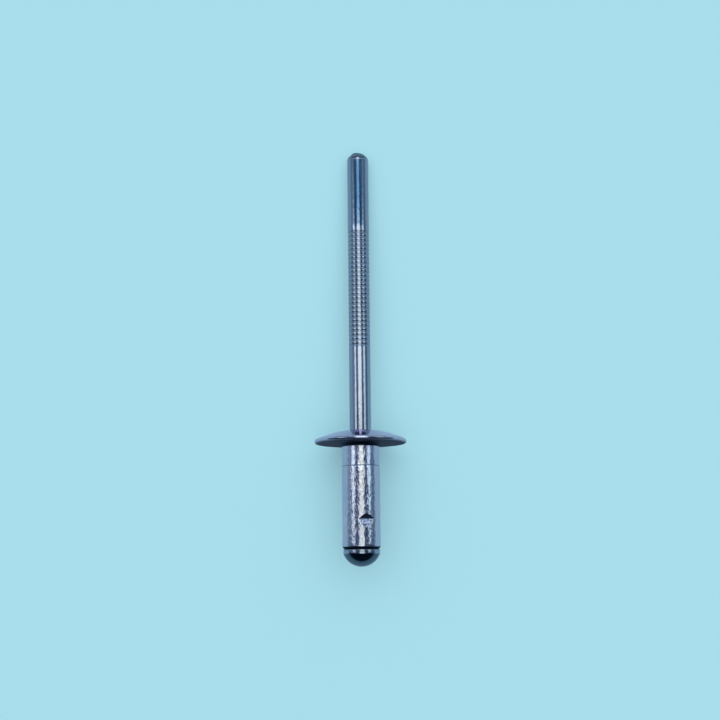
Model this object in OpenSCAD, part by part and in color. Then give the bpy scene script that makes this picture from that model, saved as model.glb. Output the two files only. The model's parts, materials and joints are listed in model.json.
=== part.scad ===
// Large-flange blind rivet, unset, lying as it comes to rest on a flat surface.
// A hollow sleeve with a wide domed flange sits on a grooved mandrel, whose domed
// head closes the sleeve's tail. The rivet leans on its flange's rim and on the
// mandrel's tip. Each piece is drawn on its own axis, with the flange's seat at
// zero and the mandrel's tip upwards, and is then laid down.

/* [Sleeve barrel] */
// Diameter of the barrel, which goes through the work
barrel_d = 6.46; // [6:0.02:7.6]
// Length of the barrel, from the flange's seat to its tail end
barrel_len = 17.7; // [14:0.1:30]
// Length of the slimmer stretch right under the flange
collar_len = 3.8; // [1.5:0.1:6]
// How far that stretch lies inside the rest of the barrel
collar_step = 0.05; // [0.03:0.005:0.06]
// Rounding of the barrel's tail edge
tail_r = 0.35; // [0.1:0.05:0.6]
// Fillet between the barrel and the flange's seat
seat_fillet = 0.55; // [0.2:0.05:1.2]
// Clearance all round between the mandrel and the bore
bore_gap = 0.05; // [0.02:0.01:0.12]
// Bevel at the bore's two mouths
mouth_bevel = 0.2; // [0.1:0.05:0.35]

/* [Sleeve flange] */
// Diameter of the flange over its rim
flange_d = 15.7; // [11:0.1:20]
// Height of the flange's crown above its seat
flange_rise = 2.4; // [1.6:0.1:3.2]
// Radius of the rounded rim
rim_r = 0.4; // [0.2:0.05:0.6]

/* [Crimps] */
// Number of crimps around the barrel
crimp_count = 4; // [2:1:6]
// Turn of the first crimp, from the top towards the right
crimp_turn = 15.7; // [-30:0.1:30]
// Distance of the crimps' deepest line from the barrel's tail end
crimp_from_tail = 4.8; // [3:0.1:8]
// Depth of a crimp at its deepest line
crimp_depth = 0.3; // [0.1:0.02:0.4]
// Length of a crimp's straight ramp, on the flange's side
crimp_ramp = 1; // [0.5:0.1:1.6]
// Length of a crimp's hollow scoop, on the tail's side
crimp_scoop = 1.1; // [0.6:0.1:1.8]
// Radius of the nub that a crimp raises in the bore
nub_r = 0.45; // [0.3:0.05:0.5]
// How far the nub stands into the bore
nub_reach = 0.15; // [0.1:0.01:0.2]

/* [Mandrel stem] */
// Diameter of the mandrel's stem and shank
stem_d = 3.7; // [3.3:0.02:3.9]
// Length of the stem that stands out, from the flange's seat to the tip
stem_reach = 51; // [45:0.5:70]
// Bevel of the tip
tip_bevel = 0.75; // [0.3:0.05:1.2]
// Slant of the sheared end face, in degrees
tip_slant = 8; // [0:0.5:12]

/* [Pulling grooves] */
// Number of grooves that the setting tool grips
groove_count = 26; // [1:1:34]
// Distance from one groove to the next
groove_pitch = 0.79; // [0.6:0.01:1]
// Distance of the first groove from the flange's seat
groove_start = 16.9; // [6:0.1:18]
// Depth of a groove
groove_depth = 0.08; // [0.05:0.01:0.15]
// Width of a groove at the stem's surface
groove_width = 0.52; // [0.51:0.01:0.6]

/* [Mandrel shank] */
// Diameter at the root of the neck where the mandrel snaps
neck_d = 2.5; // [1.8:0.05:3]
// Distance of that neck below the flange's seat
neck_below_seat = 4.9; // [3:0.1:7]
// Depth of the groove that the crimps' nubs stand in
keeper_depth = 0.3; // [0.24:0.01:0.4]
// Length of that groove
keeper_len = 1.7; // [1.3:0.1:2.2]

/* [Mandrel head] */
// Diameter of the head's straight band
head_d = 6.2; // [5.6:0.02:7.6]
// Height of the head's straight band
head_band = 0.8; // [0.5:0.05:2]
// Height of the head's dome
head_rise = 2.2; // [1.2:0.05:2.8]
// Rounding of the head's edge next to the sleeve
head_edge_r = 0.25; // [0.1:0.05:0.4]
// Fillet between the head and the shank
head_fillet = 0.15; // [0.05:0.05:0.15]

/* [Hidden] */
$fn = 96;

// How far a cut runs past the solid that it cuts
past = 1;

// Sleeve
barrel_r = barrel_d / 2;
collar_r = barrel_r - collar_step;
bore_r = stem_d / 2 + bore_gap;

// The flange's dome meets the round rim without a corner
flange_r = flange_d / 2;
rim_centre_r = flange_r - rim_r;
dome_drop = (rim_centre_r ^ 2 - (flange_rise - 2 * rim_r) ^ 2) / (2 * (flange_rise - 2 * rim_r));
dome_r = dome_drop + flange_rise - rim_r;
dome_centre_z = rim_r - dome_drop;
rim_turn = atan2(rim_centre_r, dome_drop);
crown_mouth_z = dome_centre_z + sqrt(dome_r ^ 2 - (bore_r + mouth_bevel) ^ 2);

// Crimps
crimp_z = crimp_from_tail - barrel_len;
crimp_floor_r = barrel_r - crimp_depth;
scoop_r = (crimp_scoop ^ 2 + crimp_depth ^ 2) / (2 * crimp_depth);
nub_centre_r = bore_r + nub_r - nub_reach;

// Mandrel
stem_r = stem_d / 2;
neck_r = neck_d / 2;
keeper_r = stem_r - keeper_depth;
groove_r = (groove_width ^ 2 / 4 + groove_depth ^ 2) / (2 * groove_depth);
groove_centre_r = stem_r - groove_depth + groove_r;
head_r = head_d / 2;
head_dome_r = (head_r ^ 2 + head_rise ^ 2) / (2 * head_rise);
head_end_z = -barrel_len - head_band - head_rise;

// Lean at rest: the rim and the lower edge of the tip's bevel touch the same plane
lean_run = stem_reach - tip_bevel - rim_r;
lean_drop = rim_centre_r - stem_r;
lean = atan2(lean_drop, lean_run) + asin(rim_r / norm([lean_run, lean_drop]));
seat_height = rim_r * (1 + sin(lean)) + rim_centre_r * cos(lean);

// Middle of the laid rivet's length, from the seat's centre
tip_face_r = stem_r - tip_bevel;
tip_end_y = stem_reach * cos(lean) + tip_face_r * norm([tan(tip_slant) * cos(lean), sin(lean)]);
head_end_y = (head_end_z + head_dome_r) * cos(lean) - head_dome_r;
mid_y = (tip_end_y + head_end_y) / 2;

// Corner piece between a circle and the square around its quarter
module corner(r) {
    difference() {
        square(r);
        translate([r, r]) circle(r);
    }
}

// Half section of the flange, from the seat to the dome
module flange_section() {
    intersection() {
        translate([0, dome_centre_z]) circle(dome_r, $fn = 360);
        polygon([
            [0, 0],
            [rim_centre_r, 0],
            [rim_centre_r, rim_r],
            [rim_centre_r + past * sin(rim_turn), rim_r + past * cos(rim_turn)],
            [rim_centre_r, flange_rise + past],
            [0, flange_rise + past]
        ]);
    }
    translate([rim_centre_r, rim_r]) circle(rim_r);
}

// Half section of the barrel, with its slimmer stretch, its round tail edge and its fillet
module barrel_section() {
    difference() {
        translate([0, -barrel_len]) square([barrel_r, barrel_len - collar_len]);
        translate([barrel_r, -barrel_len]) mirror([1, 0]) corner(tail_r);
    }
    translate([0, -collar_len]) square([collar_r, collar_len + rim_r]);
    translate([collar_r, 0]) mirror([0, 1]) corner(seat_fillet);
}

// Half section of the bore, with a bevelled mouth at the tail and one at the crown
module bore_section() {
    polygon([
        [0, -barrel_len - past],
        [bore_r + mouth_bevel + past, -barrel_len - past],
        [bore_r, -barrel_len + mouth_bevel],
        [bore_r, crown_mouth_z - mouth_bevel],
        [bore_r + mouth_bevel + past, crown_mouth_z + past],
        [0, crown_mouth_z + past]
    ]);
}

// Tool shape that presses one crimp: a straight ramp and a hollow scoop
module crimp_cut() {
    rotate([90, 0, -90]) linear_extrude(barrel_d, center = true) {
        polygon([
            [crimp_floor_r, crimp_z],
            [barrel_r, crimp_z + crimp_ramp],
            [barrel_r + past, crimp_z + crimp_ramp],
            [barrel_r + past, crimp_z]
        ]);
        intersection() {
            translate([crimp_floor_r + scoop_r, crimp_z]) circle(scoop_r);
            translate([crimp_floor_r - past, crimp_z - 2 * crimp_scoop])
                square([crimp_depth + 2 * past, 2 * crimp_scoop]);
        }
    }
}

// Turns what stands at the top to each crimp's place
module at_crimps() {
    for (i = [0:crimp_count - 1])
        rotate([0, 0, crimp_turn + i * 360 / crimp_count]) children();
}

module sleeve_upright() {
    difference() {
        rotate_extrude() difference() {
            union() {
                flange_section();
                barrel_section();
            }
            bore_section();
        }
        at_crimps() crimp_cut();
    }
    at_crimps() translate([0, -nub_centre_r, crimp_z]) sphere(nub_r);
}

// Half section of the stem and the shank, plain
module stem_section() {
    polygon([
        [0, -barrel_len - head_edge_r],
        [stem_r, -barrel_len - head_edge_r],
        [stem_r, stem_reach - tip_bevel],
        [tip_face_r - past * tan(tip_slant), stem_reach + past * tan(tip_slant)],
        [0, stem_reach + past * tan(tip_slant)]
    ]);
}

// Half section of what is turned or rolled into the stem and the shank
module stem_cuts() {
    for (i = [0:groove_count - 1])
        translate([groove_centre_r, groove_start + i * groove_pitch]) circle(groove_r);
    polygon([
        [neck_r, -neck_below_seat],
        [stem_r + past, -neck_below_seat + stem_r + past - neck_r],
        [stem_r + past, -neck_below_seat - stem_r - past + neck_r]
    ]);
    translate([keeper_r, crimp_z - keeper_len / 2]) square([keeper_depth + past, keeper_len]);
}

// Half section of the head: a straight band with a dome below it
module head_section() {
    difference() {
        translate([0, -barrel_len - head_band]) square([head_r, head_band]);
        translate([head_r, -barrel_len]) rotate(180) corner(head_edge_r);
    }
    intersection() {
        translate([0, head_end_z]) square([head_r, head_rise]);
        translate([0, head_end_z + head_dome_r]) circle(head_dome_r, $fn = 180);
    }
}

module mandrel_upright() {
    difference() {
        rotate_extrude() {
            difference() {
                stem_section();
                stem_cuts();
            }
            head_section();
            translate([stem_r, -barrel_len]) corner(head_fillet);
        }
        translate([0, 0, stem_reach]) rotate([0, tip_slant, 0]) translate([-stem_d, -stem_d, 0])
            cube([2 * stem_d, 2 * stem_d, 2 * past]);
    }
}

// Lays the upright rivet down, with its tip towards the back
module laid() {
    translate([0, -mid_y, seat_height]) rotate([-90 - lean, 0, 0]) children();
}

module sleeve() {
    color([0.62, 0.69, 0.78]) laid() sleeve_upright();
}

module mandrel() {
    color([0.5, 0.57, 0.66]) laid() mandrel_upright();
}

sleeve();
mandrel();
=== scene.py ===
"""Finished look of a large-flange blind rivet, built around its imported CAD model.

The rivet has two pieces: a hollow sleeve with a wide domed flange, and a grooved mandrel
whose domed head closes the sleeve's tail. Both are drawn upright, with the flange's inner
face at height zero and the mandrel's tip upwards, and are then laid down as the CAD model lies.
"""

import json
import math

import bmesh
import bpy
from bpy.props import (
    FloatProperty,
    FloatVectorProperty,
    IntProperty,
    PointerProperty,
)
from mathutils import Matrix, Vector


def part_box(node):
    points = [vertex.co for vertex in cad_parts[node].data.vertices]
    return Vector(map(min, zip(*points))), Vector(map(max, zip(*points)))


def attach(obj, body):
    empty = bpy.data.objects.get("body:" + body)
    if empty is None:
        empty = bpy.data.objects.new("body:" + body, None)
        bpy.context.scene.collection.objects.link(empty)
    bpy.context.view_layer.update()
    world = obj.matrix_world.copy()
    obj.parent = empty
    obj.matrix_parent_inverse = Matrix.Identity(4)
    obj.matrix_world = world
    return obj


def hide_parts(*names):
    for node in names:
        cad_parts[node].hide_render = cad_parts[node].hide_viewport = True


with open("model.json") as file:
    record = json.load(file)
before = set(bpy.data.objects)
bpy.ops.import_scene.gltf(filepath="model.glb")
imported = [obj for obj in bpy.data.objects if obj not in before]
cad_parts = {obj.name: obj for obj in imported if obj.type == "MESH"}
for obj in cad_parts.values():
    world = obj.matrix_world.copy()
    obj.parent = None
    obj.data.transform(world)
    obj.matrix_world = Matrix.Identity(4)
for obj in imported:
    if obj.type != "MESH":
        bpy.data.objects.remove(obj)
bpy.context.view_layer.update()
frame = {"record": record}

bl_info = {
    "name": "Large-flange blind rivet",
    "version": (1, 0, 0),
    "blender": (4, 5, 0),
    "location": "3D View > Sidebar > Rivet",
    "description": "Makes an unset blind rivet's sleeve and mandrel, and the stage around them",
    "category": "Object",
}

MM = 0.001
BODY = "root"

# Room allowed between a finished piece's box and its CAD node's box
BOX_SLACK = 0.03 * MM

# Edges that turn by more than this stay crisp in the shading
CRISP_TURN = math.radians(32)

# Points closer than this become one point of a turned mesh
JOINED = 0.0004 * MM

# Stretch of the barrel that has fine faces, below and above a crimp's deepest line
CRIMP_FACES_BELOW = 1.45 * MM
CRIMP_FACES_ABOVE = 1.25 * MM

# Stretch of the bore that has fine faces, on either side of that line
NUB_FACES = 0.5 * MM

# A crimp's ramp is hollow by this power. Its scoop is steeper past its knee.
RAMP_POWER = 1.15
SCOOP_SLOPE = 0.8
SCOOP_KNEE = 0.6
SCOOP_KNEE_SLOPE = 0.5

# Rounded edge of a groove: its width, how far it is sunk, and the plain stretch before it
GROOVE_EDGE = 0.006 * MM
GROOVE_EDGE_SUNK = 0.003 * MM
GROOVE_EDGE_REACH = 0.02 * MM

# Softened shoulder of the tip's bevel: how far inside the stem's surface and how far past the
# bevel's start each of its points lies, in millimetres
TIP_SHOULDER = ((0.02, -0.24), (0.07, -0.08), (0.16, 0.08))

# Widths of the rings of faces on the sheared end face, in millimetres
TIP_RINGS = (0.05, 0.1, 0.2, 0.25)

# Heights below and above the whole rivet, in millimetres
BELOW_ALL = -30.0
ABOVE_ALL = 60.0

# Depth of a pit in the plating
PIT_DEPTH = 0.01 * MM

# Plain overhead light: its lean from straight up towards the tip in degrees, its level where
# it is strongest, and the power that it fades by to the sides
LIGHT_LEAN = 15.0
LIGHT_LEVEL = 3.13
LIGHT_POWER = 4.0


def length(name, description, millimetres):
    """A length property with its default in millimetres."""
    return FloatProperty(
        name=name,
        description=description,
        default=millimetres * MM,
        min=0.0,
        precision=5,
        subtype="DISTANCE",
        unit="LENGTH",
    )


def turn(name, description, degrees):
    """An angle property with its default in degrees."""
    return FloatProperty(
        name=name,
        description=description,
        default=math.radians(degrees),
        subtype="ANGLE",
        unit="ROTATION",
    )


def share(name, description, value):
    """A property between none and all."""
    return FloatProperty(
        name=name,
        description=description,
        default=value,
        min=0.0,
        max=1.0,
        subtype="FACTOR",
    )


def count(name, description, value):
    """A whole number property."""
    return IntProperty(name=name, description=description, default=value, min=1)


def colour(name, description, red, green, blue):
    """A colour property."""
    return FloatVectorProperty(
        name=name,
        description=description,
        default=(red, green, blue),
        size=3,
        min=0.0,
        subtype="COLOR",
    )


class RivetSleeveSizes(bpy.types.PropertyGroup):
    """Sizes of the sleeve"""

    barrel_radius: length("Barrel radius", "Radius of the barrel over its widest stretch", 3.23)
    barrel_length: length("Barrel length", "From the flange's inner face to the tail end", 17.7)
    collar_length: length("Slim stretch", "Length of the slimmer stretch under the flange", 3.8)
    collar_step: length("Slim step", "How far that stretch lies inside the rest", 0.05)
    tail_round: length("Tail rounding", "Rounding of the barrel's tail edge", 0.48)
    fillet: length("Fillet", "Fillet between the barrel and the flange", 0.55)
    bore_radius: length("Bore radius", "Radius of the bore that the mandrel runs in", 1.9)
    mouth_bevel: length("Mouth bevel", "Bevel at the bore's two mouths", 0.2)
    flange_radius: length("Flange radius", "Radius of the flange over its rim", 7.85)
    flange_rise: length("Flange rise", "Height of the dome's top above the inner face", 2.4)
    rim_round: length("Rim rounding", "Radius of the flange's rounded rim", 0.4)
    crimps: count("Crimps", "Number of crimps around the barrel", 4)
    crimp_turn: turn("Crimp turn", "Turn of the first crimp from the top", 15.7)
    crimp_from_tail: length("Crimp place", "From the tail end to a crimp's deepest line", 4.93)
    crimp_depth: length("Crimp depth", "Depth of a crimp at its deepest line", 0.3)
    crimp_ramp: length("Crimp ramp", "Length of a crimp's ramp towards the flange", 0.82)
    crimp_scoop: length("Crimp scoop", "Length of a crimp's scoop towards the tail", 1.4)
    crimp_hollow: FloatProperty(
        name="Crimp hollow",
        description="Hollowness of a crimp's floor across: one over its radius in millimetres",
        default=0.04,
    )
    nub_radius: length("Nub radius", "Radius of the nub that a crimp raises in the bore", 0.45)
    nub_reach: length("Nub reach", "How far a nub stands into the bore", 0.15)
    columns: count("Columns", "Faces around the sleeve", 256)


class RivetMandrelSizes(bpy.types.PropertyGroup):
    """Sizes of the mandrel"""

    stem_radius: length("Stem radius", "Radius of the stem and of the shank", 1.85)
    stem_reach: length("Stem reach", "From the flange's inner face to the tip", 51.0)
    tip_bevel: length("Tip bevel", "Bevel of the tip", 0.75)
    tip_slant: turn("Tip slant", "Slant of the sheared end face", 8.0)
    grooves: count("Grooves", "Number of pulling grooves", 26)
    groove_pitch: length("Groove pitch", "From one groove to the next", 0.79)
    groove_start: length("Groove start", "From the flange's inner face to the first groove", 16.9)
    groove_depth: length("Groove depth", "Depth of a groove", 0.032)
    groove_width: length("Groove width", "Width of a groove at the stem's surface", 0.52)
    neck_radius: length("Neck radius", "Radius at the root of the neck where the stem snaps", 1.25)
    neck_place: length("Neck place", "From the flange's inner face down to the neck", 4.9)
    keeper_depth: length("Keeper depth", "Depth of the groove that the nubs stand in", 0.3)
    keeper_length: length("Keeper length", "Length of that groove", 1.7)
    head_radius: length("Head radius", "Radius of the head's straight band", 3.1)
    head_band: length("Head band", "Height of the head's straight band", 0.8)
    head_rise: length("Head rise", "Height of the head's dome", 2.2)
    head_edge: length("Head edge", "Rounding of the head's edge next to the sleeve", 0.25)
    head_fillet: length("Head fillet", "Fillet between the head and the shank", 0.15)
    columns: count("Columns", "Faces around the mandrel", 160)


class RivetFinish(bpy.types.PropertyGroup):
    """Colours and surface of the plating, and the colours of its painted shade"""

    plating: colour("Plating", "Colour of the bright plating", 0.48, 0.45, 0.58)
    plating_warm: colour("Warm plating", "Colour where the plating is thinner", 0.51, 0.46, 0.55)
    wire: colour("Wire plating", "Colour of the plating on the drawn mandrel", 0.29, 0.3, 0.39)
    wire_warm: colour("Warm wire plating", "Colour where that plating is thinner", 0.3, 0.3, 0.37)
    # Painted shade on the mandrel: a darker colour laid in the groove floors, in the crease next
    # to the sleeve's tail and over the head's dome, where it stands in for a dark reflection; it
    # also darkens the tip's bevel and sheared end
    painted_shade: colour("Dull metal", "Colour of the mandrel's dull places", 0.07, 0.105, 0.14)
    edge_tint: colour("Edge tint", "Tint of the plating at grazing angles", 1.0, 0.86, 1.0)
    # Painted shade on the sleeve: a darker colour laid on the flange's inner face and the lower
    # side of its rim, and in the creases at the tail, at the slim step and round the stem's foot,
    # where shade and dark reflections fall
    sleeve_painted_shade: colour("Dark film", "Colour of the sleeve's dark places", 0.012, 0.028, 0.05)
    grime: colour("Grime", "Colour of what settles in pits", 0.11, 0.14, 0.18)
    sleeve_roughness: share("Sleeve roughness", "Roughness of the sleeve's surface", 0.13)
    mandrel_roughness: share("Mandrel roughness", "Roughness of the mandrel's surface", 0.11)


class RivetStage(bpy.types.PropertyGroup):
    """Floor, studio and camera"""

    floor: colour("Floor", "Colour of the pale floor", 0.392, 0.723, 0.831)
    fill: share("Fill light", "Share of the floor's light that casts no shadow", 0.35)
    floor_size: length("Floor size", "Length of the floor's side", 3000)
    lens: FloatProperty(name="Lens", description="Focal length in millimetres", default=67.5)
    camera_x: length("Camera across", "Camera's place across the rivet", 0.052)
    camera_back: length("Camera back", "Camera's place behind the rivet's middle", 9.71)
    camera_height: length("Camera height", "Camera's height above the floor", 237.9)
    camera_pitch: turn("Camera pitch", "Pitch from straight down", 2.2)
    camera_roll: turn("Camera roll", "Roll about the line of sight", -0.596)


class HalfSection:
    """Half section of a turned piece, drawn point by point in the XZ plane."""

    def __init__(self, radius, height):
        self.mesh = bmesh.new()
        self.end = self.mesh.verts.new((radius, 0.0, height))

    def line(self, radius, height, steps=1):
        """Draws on, straight to a point."""
        step = (Vector((radius, 0.0, height)) - self.end.co) / steps
        for _ in range(steps):
            made = bmesh.ops.extrude_vert_indiv(self.mesh, verts=[self.end])
            self.end = made["verts"][0]
            bmesh.ops.translate(self.mesh, verts=[self.end], vec=step)

    def arc(self, radius, height, degrees, steps):
        """Draws on, round a centre. Upwards turns towards outwards where degrees is positive."""
        made = bmesh.ops.spin(
            self.mesh,
            geom=[self.end],
            cent=(radius, 0.0, height),
            axis=(0.0, 1.0, 0.0),
            angle=math.radians(degrees),
            steps=steps,
        )
        self.end = next(e for e in made["geom_last"] if isinstance(e, bmesh.types.BMVert))

    def revolve(self, columns):
        """Turns the section into a closed mesh about the Z axis."""
        mesh = self.mesh
        bmesh.ops.spin(
            mesh,
            geom=mesh.verts[:] + mesh.edges[:],
            cent=(0.0, 0.0, 0.0),
            axis=(0.0, 0.0, 1.0),
            angle=math.tau,
            steps=columns,
            use_merge=True,
        )
        bmesh.ops.remove_doubles(mesh, verts=mesh.verts, dist=JOINED)
        bmesh.ops.recalc_face_normals(mesh, faces=mesh.faces)
        return mesh


def laid():
    """The move that lays an upright piece down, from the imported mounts."""
    mounts = {mount["name"]: mount for mount in frame["record"]["mounts"]}
    axis = Vector(mounts["stem"]["axis"]).normalized()
    on_axis = Vector(mounts["stem"]["pos_m"])
    foot = on_axis + axis * (Vector(mounts["flange_seat"]["pos_m"]) - on_axis).dot(axis)
    across = Vector((1.0, 0.0, 0.0))
    down = axis.cross(across)
    return Matrix(
        (
            (across.x, down.x, axis.x, foot.x),
            (across.y, down.y, axis.y, foot.y),
            (across.z, down.z, axis.z, foot.z),
            (0.0, 0.0, 0.0, 1.0),
        )
    )


def finish_piece(mesh, name, node, material):
    """Lays a piece down, makes its object and lets it stand for its CAD node."""
    bmesh.ops.transform(mesh, matrix=laid(), verts=mesh.verts)
    for face in mesh.faces:
        face.smooth = True
    for edge in mesh.edges:
        edge.smooth = len(edge.link_faces) == 2 and edge.calc_face_angle(0.0) < CRISP_TURN
    data = bpy.data.meshes.new(name)
    mesh.to_mesh(data)
    mesh.free()
    data.materials.append(material)
    piece = bpy.data.objects.new(name, data)
    bpy.context.scene.collection.objects.link(piece)
    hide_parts(node)
    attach(piece, BODY)
    compare_boxes(piece, node)
    return piece


def compare_boxes(piece, node):
    """Stops the script if a piece doesn't keep its CAD node's place."""
    low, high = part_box(node)
    corners = [vertex.co for vertex in piece.data.vertices]
    for side in range(3):
        least = min(corner[side] for corner in corners)
        most = max(corner[side] for corner in corners)
        if least < low[side] - BOX_SLACK or most > high[side] + BOX_SLACK:
            raise RuntimeError(f"{piece.name} stands out of {node}'s box on side {side}")


def sleeve_mesh(size):
    """The sleeve, turned from its closed half section."""
    rim_middle = size.flange_radius - size.rim_round
    rise = size.flange_rise - 2 * size.rim_round
    dome_drop = (rim_middle**2 - rise**2) / (2 * rise)
    dome_radius = dome_drop + size.flange_rise - size.rim_round
    dome_height = size.rim_round - dome_drop
    rim_turn = math.degrees(math.atan2(rim_middle, dome_drop))
    mouth_radius = size.bore_radius + size.mouth_bevel
    mouth_turn = math.degrees(math.asin(mouth_radius / dome_radius))
    mouth_height = dome_height + dome_radius * math.cos(math.radians(mouth_turn))
    collar_radius = size.barrel_radius - size.collar_step
    crimp_height = size.crimp_from_tail - size.barrel_length

    section = HalfSection(mouth_radius, mouth_height)
    section.arc(0.0, dome_height, rim_turn - mouth_turn, 26)
    section.arc(rim_middle, size.rim_round, 180 - rim_turn, 24)
    section.line(collar_radius + size.fillet, 0.0, 10)
    section.arc(collar_radius + size.fillet, -size.fillet, -90, 14)
    section.line(collar_radius, -size.collar_length + 0.03 * MM, 8)
    section.line(size.barrel_radius - 0.01 * MM, -size.collar_length - 0.01 * MM, 1)
    section.line(size.barrel_radius, -size.collar_length - 0.05 * MM, 1)
    section.line(size.barrel_radius, crimp_height + CRIMP_FACES_ABOVE, 20)
    section.line(size.barrel_radius, crimp_height - CRIMP_FACES_BELOW, 68)
    section.line(size.barrel_radius, -size.barrel_length + size.tail_round, 8)
    section.arc(
        size.barrel_radius - size.tail_round, -size.barrel_length + size.tail_round, 90, 12
    )
    section.line(mouth_radius, -size.barrel_length, 3)
    section.line(size.bore_radius, -size.barrel_length + size.mouth_bevel)
    section.line(size.bore_radius, crimp_height - NUB_FACES, 3)
    section.line(size.bore_radius, crimp_height + NUB_FACES, 14)
    section.line(size.bore_radius, mouth_height - size.mouth_bevel, 8)
    section.line(mouth_radius, mouth_height)
    mesh = section.revolve(size.columns)
    press_crimps(mesh, size)
    return mesh


def crimp_directions(size):
    """Directions of the crimps on the upright sleeve, from the top towards the right."""
    for number in range(size.crimps):
        angle = size.crimp_turn + number * math.tau / size.crimps
        yield Vector((math.sin(angle), -math.cos(angle), 0.0))


def crimp_floor(size, height):
    """How far from the axis a crimp's floor lies, at a height above its deepest line."""
    if height >= 0.0:
        sunk = max(1.0 - height / size.crimp_ramp, 0.0) ** RAMP_POWER
    else:
        run = -height / size.crimp_scoop
        past_knee = max(run - SCOOP_KNEE, 0.0)
        sunk = 1.0 - SCOOP_SLOPE * run - SCOOP_KNEE_SLOPE * past_knee
    return size.barrel_radius - size.crimp_depth * sunk


def press_crimps(mesh, size):
    """Presses the flat-bottomed crimps into the barrel and raises their nubs in the bore."""
    deepest_line = size.crimp_from_tail - size.barrel_length
    nub_middle = size.bore_radius + size.nub_radius - size.nub_reach
    wall_middle = (size.bore_radius + size.barrel_radius) / 2
    crimped = [
        vertex
        for vertex in mesh.verts
        if -size.crimp_scoop < vertex.co.z - deepest_line < size.crimp_ramp
    ]
    for direction in crimp_directions(size):
        for vertex in crimped:
            height = vertex.co.z - deepest_line
            reach = vertex.co.dot(direction)
            aside = (vertex.co - direction * reach).xy.length
            if vertex.co.xy.length > wall_middle:
                floor = crimp_floor(size, height) + size.crimp_hollow * aside**2 / (2 * MM)
                if reach > floor:
                    vertex.co -= direction * (reach - floor)
            elif reach > 0.0:
                room = size.nub_radius**2 - height**2 - aside**2
                if room > 0.0:
                    vertex.co += direction * min(nub_middle - math.sqrt(room) - reach, 0.0)


def mandrel_mesh(size, sleeve):
    """The mandrel, turned from its half section, with its tip sheared."""
    tail = -sleeve.barrel_length
    dome_radius = (size.head_radius**2 + size.head_rise**2) / (2 * size.head_rise)
    end_height = tail - size.head_band - size.head_rise
    dome_turn = math.degrees(math.asin(size.head_radius / dome_radius))
    keeper_height = sleeve.crimp_from_tail - sleeve.barrel_length
    keeper_low = keeper_height - size.keeper_length / 2
    keeper_high = keeper_height + size.keeper_length / 2
    neck_depth = size.stem_radius - size.neck_radius
    tip_start = size.stem_reach - size.tip_bevel
    tip_run = size.tip_bevel + size.stem_radius * math.tan(size.tip_slant)

    section = HalfSection(0.0, end_height)
    section.arc(0.0, end_height + dome_radius, -dome_turn, 30)
    section.line(size.head_radius, tail - size.head_edge, 4)
    section.arc(size.head_radius - size.head_edge, tail - size.head_edge, -90, 10)
    section.line(size.stem_radius + size.head_fillet, tail, 3)
    section.arc(size.stem_radius + size.head_fillet, tail + size.head_fillet, 90, 6)
    section.line(size.stem_radius, keeper_low, 3)
    section.line(size.stem_radius - size.keeper_depth, keeper_low)
    section.line(size.stem_radius - size.keeper_depth, keeper_high, 3)
    section.line(size.stem_radius, keeper_high)
    section.line(size.stem_radius, -size.neck_place - neck_depth, 4)
    section.line(size.neck_radius, -size.neck_place)
    section.line(size.stem_radius, -size.neck_place + neck_depth)
    section.line(size.stem_radius, -size.neck_place + neck_depth + 0.05 * MM)
    section.line(size.stem_radius, size.groove_start - size.groove_pitch, 16)
    draw_grooves(section, size)
    section.line(size.stem_radius, tip_start - 1.0 * MM, 10)
    section.line(size.stem_radius, tip_start - 0.4 * MM, 4)
    for inside, past_start in TIP_SHOULDER:
        section.line(size.stem_radius - inside * MM, tip_start + past_start * MM)
    section.line(size.stem_radius - tip_run, tip_start + tip_run, 6)
    section.line(0.0, tip_start + tip_run)
    mesh = section.revolve(size.columns)
    shear_tip(mesh, size)
    return mesh


def draw_grooves(section, size):
    """Draws the rolled pulling grooves up the section."""
    half = size.groove_width / 2
    radius = (half**2 + size.groove_depth**2) / (2 * size.groove_depth)
    middle = size.stem_radius - size.groove_depth + radius
    half_turn = math.degrees(math.asin((half - GROOVE_EDGE) / radius))
    for number in range(size.grooves):
        height = size.groove_start + number * size.groove_pitch
        section.line(size.stem_radius, height - half - GROOVE_EDGE_REACH, 3)
        section.line(size.stem_radius - GROOVE_EDGE_SUNK, height - half + GROOVE_EDGE)
        section.arc(middle, height, 2 * half_turn, 9)
    section.line(size.stem_radius, section.end.co.z + GROOVE_EDGE_REACH)


def shear_tip(mesh, size):
    """Shears the tip on a slant, and closes it with a flat face of rings and a middle."""
    normal = Vector((math.sin(size.tip_slant), 0.0, math.cos(size.tip_slant)))
    geometry = mesh.verts[:] + mesh.edges[:] + mesh.faces[:]
    bmesh.ops.bisect_plane(
        mesh,
        geom=geometry,
        plane_co=(0.0, 0.0, size.stem_reach),
        plane_no=normal,
        clear_outer=True,
    )
    rim = [edge for edge in mesh.edges if edge.is_boundary]
    made = bmesh.ops.contextual_create(mesh, geom=rim)
    face = made["faces"][0]
    for width in TIP_RINGS:
        bmesh.ops.inset_region(mesh, faces=[face], thickness=width * MM)
    bmesh.ops.poke(mesh, faces=[face])
    bmesh.ops.recalc_face_normals(mesh, faces=mesh.faces)


def put(tree, kind, inputs=None, **settings):
    """Places a node, with its settings, and links or sets its inputs."""
    node = tree.nodes.new(kind)
    for name, value in settings.items():
        setattr(node, name, value)
    for name, value in (inputs or {}).items():
        if isinstance(value, bpy.types.NodeSocket):
            tree.links.new(value, node.inputs[name])
        else:
            node.inputs[name].default_value = value
    return node


def sum_up(tree, operation, first, second=0.0):
    """Places a Math node and gives its result."""
    return put(tree, "ShaderNodeMath", {0: first, 1: second}, operation=operation).outputs[0]


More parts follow.
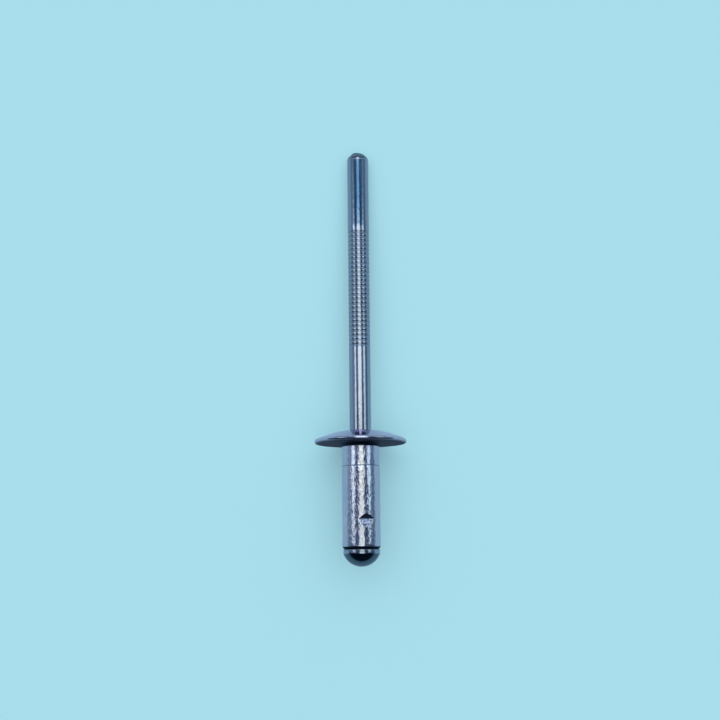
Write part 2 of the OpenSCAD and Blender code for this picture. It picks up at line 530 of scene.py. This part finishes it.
def ease(tree, value, start, end, low=0.0, high=1.0):
    """Eases from low to high while the value goes from start to end."""
    inputs = {0: value, 1: start, 2: end, 3: low, 4: high}
    return put(tree, "ShaderNodeMapRange", inputs, interpolation_type="SMOOTHSTEP").outputs[0]


def blend_colours(tree, mask, first, second):
    """Mixes two colours by a mask. Each is a socket or has its three values."""
    inputs = {0: mask}
    for label, end in ((6, first), (7, second)):
        inputs[label] = end if isinstance(end, bpy.types.NodeSocket) else (*end, 1.0)
    return put(tree, "ShaderNodeMix", inputs, data_type="RGBA").outputs[2]


def new_group(name, inputs, outputs):
    """Starts a shader node group. Gives the group, its inside inputs and its inside outputs."""
    group = bpy.data.node_groups.new(name, "ShaderNodeTree")
    for label, kind, value in inputs:
        socket = group.interface.new_socket(label, in_out="INPUT", socket_type=kind)
        if value is not None:
            socket.default_value = value
    for label, kind in outputs:
        group.interface.new_socket(label, in_out="OUTPUT", socket_type=kind)
    inside = group.nodes.new("NodeGroupInput")
    outside = group.nodes.new("NodeGroupOutput")
    return group, inside.outputs, outside.inputs


def draw_lines_group():
    """Fine lines along the axis, as drawing and ironing leave them."""
    group, given, wanted = new_group(
        "Draw lines",
        [
            ("Place", "NodeSocketVector", None),
            ("Lines per millimetre", "NodeSocketFloat", 6.0),
            ("Stretch", "NodeSocketFloat", 40.0),
        ],
        [("Height", "NodeSocketFloat")],
    )
    across = given["Lines per millimetre"]
    along = sum_up(group, "DIVIDE", across, given["Stretch"])
    scale = put(group, "ShaderNodeCombineXYZ", {"X": across, "Y": across, "Z": along}).outputs[0]
    place = put(
        group, "ShaderNodeVectorMath", {0: given["Place"], 1: scale}, operation="MULTIPLY"
    ).outputs[0]
    inputs = {"Vector": place, "Scale": 1.0, "Detail": 3.0, "Roughness": 0.6}
    noise = put(group, "ShaderNodeTexNoise", inputs)
    group.links.new(noise.outputs["Fac"], wanted["Height"])
    return group


def forming_marks_group():
    """Soft unevenness of cold-formed metal, longer along the axis than across."""
    group, given, wanted = new_group(
        "Forming marks",
        [
            ("Place", "NodeSocketVector", None),
            ("Marks per millimetre", "NodeSocketFloat", 1.6),
            ("Stretch", "NodeSocketFloat", 1.8),
        ],
        [("Height", "NodeSocketFloat"), ("Mask", "NodeSocketFloat")],
    )
    across = given["Marks per millimetre"]
    along = sum_up(group, "DIVIDE", across, given["Stretch"])
    scale = put(group, "ShaderNodeCombineXYZ", {"X": across, "Y": across, "Z": along}).outputs[0]
    place = put(
        group, "ShaderNodeVectorMath", {0: given["Place"], 1: scale}, operation="MULTIPLY"
    ).outputs[0]
    inputs = {"Vector": place, "Scale": 1.0, "Detail": 2.0, "Roughness": 0.5}
    noise = put(group, "ShaderNodeTexNoise", inputs)
    group.links.new(noise.outputs["Fac"], wanted["Height"])
    group.links.new(ease(group, noise.outputs["Fac"], 0.42, 0.62), wanted["Mask"])
    return group


def pits_group():
    """Sparse small pits, as a mask."""
    flat_share = 0.4
    empty_share = 0.72
    group, given, wanted = new_group(
        "Pits",
        [
            ("Place", "NodeSocketVector", None),
            ("Pits per millimetre", "NodeSocketFloat", 0.8),
            ("Size", "NodeSocketFloat", 0.1),
        ],
        [("Mask", "NodeSocketFloat")],
    )
    inputs = {"Vector": given["Place"], "Scale": given["Pits per millimetre"]}
    cells = put(group, "ShaderNodeTexVoronoi", inputs)
    inner = sum_up(group, "MULTIPLY", given["Size"], flat_share)
    inputs = {0: cells.outputs["Distance"], 1: inner, 2: given["Size"], 3: 1.0, 4: 0.0}
    near = put(group, "ShaderNodeMapRange", inputs).outputs[0]
    pick = put(group, "ShaderNodeSeparateColor", {0: cells.outputs["Color"]}).outputs[0]
    chosen = sum_up(group, "GREATER_THAN", pick, empty_share)
    group.links.new(sum_up(group, "MULTIPLY", near, chosen), wanted["Mask"])
    return group


def stretch_group():
    """Masks a stretch of the rivet between two heights, out to a reach from its axis."""
    group, given, wanted = new_group(
        "Stretch",
        [
            ("Place", "NodeSocketVector", None),
            ("Start", "NodeSocketFloat", 0.0),
            ("End", "NodeSocketFloat", 1.0),
            ("Soft", "NodeSocketFloat", 0.1),
            ("Reach", "NodeSocketFloat", 5.0),
            ("Fade", "NodeSocketFloat", 1.0),
            ("Amount", "NodeSocketFloat", 1.0),
        ],
        [("Mask", "NodeSocketFloat")],
    )
    x, y, z = put(group, "ShaderNodeSeparateXYZ", {0: given["Place"]}).outputs
    square = sum_up(group, "ADD", sum_up(group, "MULTIPLY", x, x), sum_up(group, "MULTIPLY", y, y))
    radius = sum_up(group, "SQRT", square)
    soft = given["Soft"]
    past_start = sum_up(group, "ADD", given["Start"], soft)
    past_end = sum_up(group, "ADD", given["End"], soft)
    past_reach = sum_up(group, "ADD", given["Reach"], given["Fade"])
    mask = ease(group, z, given["Start"], past_start, 0.0, given["Amount"])
    below_end = ease(group, z, given["End"], past_end, 1.0, 0.0)
    in_reach = ease(group, radius, given["Reach"], past_reach, 1.0, 0.0)
    mask = sum_up(group, "MULTIPLY", mask, below_end)
    mask = sum_up(group, "MULTIPLY", mask, in_reach)
    group.links.new(mask, wanted["Mask"])
    return group


def use_group(tree, group, **inputs):
    """Places a group in a tree, with its values."""
    node = tree.nodes.new("ShaderNodeGroup")
    node.node_tree = group
    for name, value in inputs.items():
        label = name.replace("_", " ").capitalize()
        if isinstance(value, bpy.types.NodeSocket):
            tree.links.new(value, node.inputs[label])
        else:
            node.inputs[label].default_value = value
    return node.outputs


def stretch_between(start, end, amount=1.0, reach=20.0, fade=1.0, soft=0.1):
    """Where a look lies: between two heights and out to a reach from the axis, in millimetres.

    The look fades out over the soft width past each height, and over the fade past the reach.
    """
    return {
        "start": start,
        "end": end,
        "amount": amount,
        "reach": reach,
        "fade": fade,
        "soft": soft,
    }


def plating_material(
    name,
    finish,
    colours,
    roughness,
    lines_height,
    marks_density,
    marks_height,
    marks_place,
    painted_shade_places,
    painted_shade_colour,
    painted_shade_roughness,
):
    """Bright plated steel: draw lines, forming marks, pits and a slightly uneven colour.

    The lines' and the marks' heights are in millimetres, and the marks have a density per
    millimetre. The places of painted shade take the painted shade's colour and add its roughness.
    """
    groups = material_groups()
    material = bpy.data.materials.new(name)
    material.use_nodes = True
    tree = material.node_tree
    tree.nodes.clear()
    place = laid()
    mapping = put(
        tree,
        "ShaderNodeMapping",
        {
            "Vector": put(tree, "ShaderNodeTexCoord").outputs["Object"],
            "Location": place.to_translation(),
            "Rotation": place.to_euler(),
            "Scale": (MM, MM, MM),
        },
        vector_type="TEXTURE",
    ).outputs[0]
    lines = use_group(tree, groups["lines"], place=mapping, lines_per_millimetre=6.0, stretch=60.0)
    dents = use_group(
        tree, groups["marks"], place=mapping, marks_per_millimetre=marks_density, stretch=2.2
    )
    marked = use_group(tree, groups["stretch"], place=mapping, **marks_place)
    relief = sum_up(
        tree, "MULTIPLY", sum_up(tree, "SUBTRACT", dents["Height"], 0.5), marked["Mask"]
    )
    cloud = use_group(tree, groups["marks"], place=mapping, marks_per_millimetre=0.35, stretch=1.5)
    pits = use_group(tree, groups["pits"], place=mapping, pits_per_millimetre=0.7, size=0.07)
    base = blend_colours(tree, cloud["Mask"], *colours)
    base = blend_colours(tree, pits["Mask"], base, finish.grime)
    smoothest = roughness - 0.03
    roughest = roughness + 0.04
    rough = ease(tree, lines["Height"], 0.3, 0.7, smoothest, roughest)
    # Mask of the places of painted shade, where a darker colour stands in for shade and dark
    # reflections
    painted_shade = 0.0
    for painted_shade_place in painted_shade_places:
        stretch = use_group(tree, groups["stretch"], place=mapping, **painted_shade_place)
        painted_shade = sum_up(tree, "MAXIMUM", painted_shade, stretch["Mask"])
    base = blend_colours(tree, painted_shade, base, painted_shade_colour)
    rough = sum_up(tree, "ADD", rough, sum_up(tree, "MULTIPLY", painted_shade, painted_shade_roughness))
    bump = put(
        tree, "ShaderNodeBump", {"Distance": lines_height * MM, "Height": lines["Height"]}
    ).outputs[0]
    bump = put(
        tree,
        "ShaderNodeBump",
        {"Distance": marks_height * MM, "Height": relief, "Normal": bump},
    ).outputs[0]
    bump = put(
        tree,
        "ShaderNodeBump",
        {"Distance": PIT_DEPTH, "Height": pits["Mask"], "Normal": bump},
        invert=True,
    ).outputs[0]
    shader = put(
        tree,
        "ShaderNodeBsdfPrincipled",
        {
            "Base Color": base,
            "Metallic": 1.0,
            "Roughness": rough,
            "Specular Tint": (*finish.edge_tint, 1.0),
            "Normal": bump,
        },
    )
    put(tree, "ShaderNodeOutputMaterial", {"Surface": shader.outputs[0]})
    return material


def material_groups():
    """The node groups that the materials share, made once."""
    names = {"lines": "Draw lines", "marks": "Forming marks", "pits": "Pits", "stretch": "Stretch"}
    makers = {
        "lines": draw_lines_group,
        "marks": forming_marks_group,
        "pits": pits_group,
        "stretch": stretch_group,
    }
    return {key: bpy.data.node_groups.get(names[key]) or makers[key]() for key in names}


class RIVET_OT_sleeve(bpy.types.Operator):
    """Make the hollow sleeve with its domed flange and its crimps"""

    bl_idname = "rivet.sleeve"
    bl_label = "Make the sleeve"

    def execute(self, context):
        size = context.scene.rivet_sleeve
        finish = context.scene.rivet_finish
        # Places of painted shade: the flange's inner face and rim, the crease at the tail, the
        # slim step and the ring round the stem's foot
        inner_face = stretch_between(-0.6, 0.2, reach=7.4, fade=0.7)
        tail_corner = stretch_between(BELOW_ALL, -17.4)
        step_corner = stretch_between(-3.95, -3.84, amount=0.5)
        mouth_corner = stretch_between(1.8, 2.6, amount=0.35, reach=2.1, fade=0.6)
        material = plating_material(
            "Sleeve plating",
            finish,
            colours=(finish.plating, finish.plating_warm),
            roughness=finish.sleeve_roughness,
            lines_height=0.001,
            marks_density=2.6,
            marks_height=0.05,
            marks_place=stretch_between(BELOW_ALL, -0.9, soft=0.5),
            painted_shade_places=[inner_face, tail_corner, step_corner, mouth_corner],
            painted_shade_colour=finish.sleeve_painted_shade,
            painted_shade_roughness=0.5,
        )
        finish_piece(sleeve_mesh(size), "sleeve_finished", "sleeve", material)
        return {"FINISHED"}


class RIVET_OT_mandrel(bpy.types.Operator):
    """Make the grooved mandrel with its domed head and its sheared tip"""

    bl_idname = "rivet.mandrel"
    bl_label = "Make the mandrel"

    def execute(self, context):
        size = context.scene.rivet_mandrel
        finish = context.scene.rivet_finish
        # Places of painted shade: the head's dome, the crease next to the sleeve's tail and the
        # groove floors; the tip's bevel and sheared end are darkened and roughened too
        head_end = stretch_between(BELOW_ALL, -18.6)
        head_corner = stretch_between(-17.95, -17.5)
        sheared_tip = stretch_between(49.95, ABOVE_ALL, amount=0.65)
        groove_floors = stretch_between(16.5, 37.0, amount=0.25, reach=1.82, fade=0.028)
        material = plating_material(
            "Mandrel plating",
            finish,
            colours=(finish.wire, finish.wire_warm),
            roughness=finish.mandrel_roughness,
            lines_height=0.0004,
            marks_density=2.5,
            marks_height=0.01,
            marks_place=stretch_between(BELOW_ALL, ABOVE_ALL, soft=0.5),
            painted_shade_places=[head_end, head_corner, sheared_tip, groove_floors],
            painted_shade_colour=finish.painted_shade,
            painted_shade_roughness=0.08,
        )
        mesh = mandrel_mesh(size, context.scene.rivet_sleeve)
        finish_piece(mesh, "mandrel_finished", "mandrel", material)
        return {"FINISHED"}


def floor_material(stage):
    """Plain matt floor. The camera and the metal see a share of its light without shadow."""
    material = bpy.data.materials.new("Pale floor")
    material.use_nodes = True
    tree = material.node_tree
    tree.nodes.clear()
    floor = (*stage.floor, 1.0)
    rays = put(tree, "ShaderNodeLightPath").outputs
    seen = sum_up(tree, "MAXIMUM", rays["Is Camera Ray"], rays["Is Glossy Ray"])
    seen = sum_up(tree, "MAXIMUM", seen, rays["Is Transmission Ray"])
    filled = sum_up(tree, "MULTIPLY", seen, stage.fill)
    lit = put(tree, "ShaderNodeBsdfDiffuse", {"Color": floor}).outputs[0]
    plain = put(tree, "ShaderNodeEmission", {"Color": floor, "Strength": 1.0}).outputs[0]
    surface = put(tree, "ShaderNodeMixShader", {0: filled, 1: lit, 2: plain}).outputs[0]
    put(tree, "ShaderNodeOutputMaterial", {"Surface": surface})
    return material


def band(tree, value, start, end, soft):
    """One between start and end, and none outside them, with soft edges."""
    rise = ease(tree, value, start - soft, start + soft)
    fall = ease(tree, value, end - soft, end + soft, 1.0, 0.0)
    return sum_up(tree, "MULTIPLY", rise, fall)


# Colours of the painted studio, where one is white
CEILING_LEFT = (0.08, 0.14, 0.22)
CEILING_RIGHT = (0.045, 0.09, 0.15)
CEILING_FOOT = (0.24, 0.33, 0.46)
FLANK_LEFT = (0.34, 0.52, 0.66)
FLANK_RIGHT = (0.18, 0.3, 0.4)
FLANK_START = (0.08, 0.15, 0.23)
PANEL_LEFT = (1.43, 1.76, 1.81)
PANEL_RIGHT = (1.06, 1.53, 1.62)
STEM_PANEL_LEFT = (1.85, 2.4, 2.45)
STEM_PANEL_RIGHT = (1.6, 2.25, 2.3)
STRIP_START = (1.8, 2.15, 2.25)
STRIP_BARREL = (1.07, 1.3, 1.14)
STRIP_STEM = (2.3, 2.5, 2.2)
STRIP_END = (2.25, 2.7, 2.8)
BACK_MIDDLE = (0.02, 0.13, 0.28)
BACK_SIDES = (0.2, 0.4, 0.54)
BACK_STRIPE = (0.12, 0.78, 1.3)
BACK_END = (0.03, 0.08, 0.14)
REAR_MIDDLE = (0.95, 1.25, 1.4)
REAR_SIDES = (0.55, 0.85, 1.0)
REAR_STRIPE = (1.75, 2.1, 2.2)
FAR_END = (0.4, 0.56, 0.68)
FRONT = (0.012, 0.025, 0.045)

# Where the studio changes on its way towards the tip, in degrees
FRONT_SPAN = (-18.0, -10.0)
FLANK_SPAN = (0.0, 6.0)
STRIP_SPAN = (1.0, 5.0)
STEM_SPAN = (12.6, 13.6)
BACK_SPAN = (16.0, 20.5)
BRIGHTER_STRIP_SPAN = (16.5, 17.5)
STRIP_END_SPAN = (20.2, 22.0)
SHIFT_SPAN = (20.5, 22.5)
BACK_END_SPAN = (34.0, 38.5)
FAR_END_SPAN = (50.0, 58.0)

# Stretches of the studio towards the tip: start, end and soft edge, in degrees
FOOT_BAND = (13.1, 17.0, 0.5)
PANEL_BAND = (5.0, 40.0, 2.0)
REAR_BAND = (26.0, 35.0, 2.0)
REAR_STRIPE_BAND = (26.0, 50.0, 2.0)

# Stretches of the studio around the rivet, from the left to the right
LEFT_PANEL = (-58.5, -38.5, 3.0)
RIGHT_PANEL = (42.0, 62.0, 3.0)
NARROW_STRIP = (-11.8, 17.8, 2.0)
WIDE_STRIP = (-16.0, 23.0, 2.0)

# Where the studio changes from its left to its right, and from its middle to its sides
RIGHT_SPAN = (-20.0, 20.0)
FLANK_ASIDE = (60.0, 70.0)
BACK_ASIDE = (40.0, 52.0)
BACK_STRIPE_ASIDE = (10.5, 15.5)
REAR_ASIDE = (40.0, 50.0)
REAR_STRIPE_ASIDE = (12.0, 17.0)

# How far the studio is turned for the stem, and turned back further on, in degrees
STEM_SHIFT = 3.0
BACK_SHIFT = 4.0

# Height in the studio, as a share of straight up, where the floor's colour ends
HORIZON = 0.04


def fading(tree, value, span):
    """One before a span and none after it."""
    return ease(tree, value, *span, 1.0, 0.0)


def painted_studio(tree, x, y, z):
    """The soft panels and strips that the metal reflects, by direction only.

    Around is the angle from straight up towards the right, and along is the angle from
    the upright plane across the rivet towards its tip, both in degrees.
    """
    around = sum_up(tree, "DEGREES", sum_up(tree, "ARCTAN2", x, z))
    along = sum_up(tree, "DEGREES", sum_up(tree, "ARCSINE", y))
    on_stem = ease(tree, along, *STEM_SPAN)
    around = sum_up(tree, "ADD", around, sum_up(tree, "MULTIPLY", on_stem, STEM_SHIFT))
    turned_back = ease(tree, along, *SHIFT_SPAN, 0.0, BACK_SHIFT)
    around = sum_up(tree, "SUBTRACT", around, turned_back)
    aside = sum_up(tree, "ABSOLUTE", around)
    right = ease(tree, around, *RIGHT_SPAN)
    at_foot = band(tree, along, *FOOT_BAND)

    ceiling = blend_colours(tree, right, CEILING_LEFT, CEILING_RIGHT)
    ceiling = blend_colours(tree, at_foot, ceiling, CEILING_FOOT)
    flank = blend_colours(tree, right, FLANK_LEFT, FLANK_RIGHT)
    flank = blend_colours(tree, ease(tree, along, *FLANK_SPAN), FLANK_START, flank)
    sky = blend_colours(tree, ease(tree, aside, *FLANK_ASIDE), ceiling, flank)

    panel = blend_colours(tree, right, PANEL_LEFT, PANEL_RIGHT)
    stem_panel = blend_colours(tree, right, STEM_PANEL_LEFT, STEM_PANEL_RIGHT)
    panel = blend_colours(tree, on_stem, panel, stem_panel)
    left_panel = band(tree, around, *LEFT_PANEL)
    right_panel = band(tree, around, *RIGHT_PANEL)
    panels = sum_up(tree, "ADD", left_panel, right_panel)
    lit = sum_up(tree, "MULTIPLY", panels, band(tree, along, *PANEL_BAND))
    sky = blend_colours(tree, lit, sky, panel)

    back = blend_colours(tree, ease(tree, aside, *BACK_ASIDE), BACK_MIDDLE, BACK_SIDES)
    back = blend_colours(tree, fading(tree, aside, BACK_STRIPE_ASIDE), back, BACK_STRIPE)
    sky = blend_colours(tree, ease(tree, along, *BACK_SPAN), sky, back)

    narrow = band(tree, around, *NARROW_STRIP)
    wide = band(tree, around, *WIDE_STRIP)
    middle = put(tree, "ShaderNodeMix", {0: at_foot, 2: narrow, 3: wide}).outputs[0]
    middle = sum_up(tree, "MULTIPLY", middle, fading(tree, along, STRIP_END_SPAN))
    strip = blend_colours(tree, on_stem, STRIP_BARREL, STRIP_STEM)
    strip = blend_colours(tree, ease(tree, along, *STRIP_SPAN), STRIP_START, strip)
    strip = blend_colours(tree, ease(tree, along, *BRIGHTER_STRIP_SPAN), strip, STRIP_END)
    sky = blend_colours(tree, middle, sky, strip)
    sky = blend_colours(tree, ease(tree, along, *BACK_END_SPAN), sky, BACK_END)

    rear = blend_colours(tree, ease(tree, aside, *REAR_ASIDE), REAR_MIDDLE, REAR_SIDES)
    centre = fading(tree, aside, REAR_STRIPE_ASIDE)
    rear = blend_colours(tree, centre, rear, REAR_STRIPE)
    stripe = sum_up(tree, "MULTIPLY", centre, band(tree, along, *REAR_STRIPE_BAND))
    lit = sum_up(tree, "MAXIMUM", stripe, band(tree, along, *REAR_BAND))
    sky = blend_colours(tree, lit, sky, rear)
    sky = blend_colours(tree, ease(tree, along, *FAR_END_SPAN), sky, FAR_END)
    return blend_colours(tree, fading(tree, along, FRONT_SPAN), sky, FRONT)


def overhead_light(tree, y, z):
    """Plain white light that is strongest nearly overhead, with a lean towards the tip."""
    lean = math.radians(LIGHT_LEAN)
    upwards = sum_up(tree, "MULTIPLY", z, math.cos(lean))
    onwards = sum_up(tree, "MULTIPLY", y, math.sin(lean))
    towards = sum_up(tree, "MAXIMUM", sum_up(tree, "ADD", upwards, onwards), 0.0)
    level = sum_up(tree, "POWER", towards, LIGHT_POWER)
    level = sum_up(tree, "MULTIPLY", level, LIGHT_LEVEL)
    return put(tree, "ShaderNodeCombineColor", {0: level, 1: level, 2: level}).outputs[0]


def studio_world(stage):
    """Plain light for the floor, and a painted studio for the metal to reflect."""
    world = bpy.data.worlds.new("Soft studio")
    world.use_nodes = True
    world.cycles.sampling_method = "NONE"
    tree = world.node_tree
    tree.nodes.clear()
    direction = put(tree, "ShaderNodeTexCoord").outputs["Generated"]
    x, y, z = put(tree, "ShaderNodeSeparateXYZ", {0: direction}).outputs
    studio = painted_studio(tree, x, y, z)
    studio = blend_colours(tree, ease(tree, z, 0.0, HORIZON), stage.floor, studio)
    rays = put(tree, "ShaderNodeLightPath").outputs
    light = overhead_light(tree, y, z)
    plain = blend_colours(tree, rays["Is Camera Ray"], light, stage.floor)
    shown = blend_colours(tree, rays["Is Glossy Ray"], plain, studio)
    background = put(tree, "ShaderNodeBackground", {"Color": shown, "Strength": 1.0})
    put(tree, "ShaderNodeOutputWorld", {"Surface": background.outputs[0]})
    return world


class RIVET_OT_stage(bpy.types.Operator):
    """Make the pale floor, the soft studio and the camera above the rivet"""

    bl_idname = "rivet.stage"
    bl_label = "Make the stage"

    def execute(self, context):
        stage = context.scene.rivet_stage
        scene = context.scene
        scene.view_settings.view_transform = "Standard"

        mesh = bmesh.new()
        bmesh.ops.create_grid(mesh, x_segments=2, y_segments=2, size=stage.floor_size / 2)
        data = bpy.data.meshes.new("floor")
        mesh.to_mesh(data)
        mesh.free()
        data.materials.append(floor_material(stage))
        floor = bpy.data.objects.new("floor", data)
        scene.collection.objects.link(floor)

        scene.world = studio_world(stage)

        lens = bpy.data.cameras.new("camera")
        lens.lens = stage.lens
        lens.sensor_width = 36.0
        lens.clip_start = 0.01
        lens.clip_end = 10.0
        camera = bpy.data.objects.new("camera", lens)
        scene.collection.objects.link(camera)
        place = Vector((stage.camera_x, -stage.camera_back, stage.camera_height))
        camera.matrix_world = (
            Matrix.Translation(place)
            @ Matrix.Rotation(stage.camera_pitch, 4, "X")
            @ Matrix.Rotation(stage.camera_roll, 4, "Z")
        )
        scene.camera = camera
        return {"FINISHED"}


class RIVET_PT_maker(bpy.types.Panel):
    """Makes the rivet's pieces and its stage"""

    bl_idname = "RIVET_PT_maker"
    bl_label = "Blind rivet"
    bl_space_type = "VIEW_3D"
    bl_region_type = "UI"
    bl_category = "Rivet"

    def draw(self, context):
        layout = self.layout
        scene = context.scene
        for operator, settings in (
            ("rivet.sleeve", scene.rivet_sleeve),
            ("rivet.mandrel", scene.rivet_mandrel),
            ("rivet.stage", scene.rivet_stage),
        ):
            layout.operator(operator)
            column = layout.column(align=True)
            for name in settings.__annotations__:
                column.prop(settings, name)
        column = layout.column(align=True)
        for name in scene.rivet_finish.__annotations__:
            column.prop(scene.rivet_finish, name)


CLASSES = (
    RivetSleeveSizes,
    RivetMandrelSizes,
    RivetFinish,
    RivetStage,
    RIVET_OT_sleeve,
    RIVET_OT_mandrel,
    RIVET_OT_stage,
    RIVET_PT_maker,
)

SETTINGS = {
    "rivet_sleeve": RivetSleeveSizes,
    "rivet_mandrel": RivetMandrelSizes,
    "rivet_finish": RivetFinish,
    "rivet_stage": RivetStage,
}


def register():
    for kind in CLASSES:
        bpy.utils.register_class(kind)
    for name, kind in SETTINGS.items():
        setattr(bpy.types.Scene, name, PointerProperty(type=kind))


def unregister():
    for name in SETTINGS:
        delattr(bpy.types.Scene, name)
    for kind in reversed(CLASSES):
        bpy.utils.unregister_class(kind)


def main():
    """Makes the pieces and the stage."""
    register()
    bpy.ops.rivet.stage()
    bpy.ops.rivet.sleeve()
    bpy.ops.rivet.mandrel()


if __name__ == "__main__":
    main()
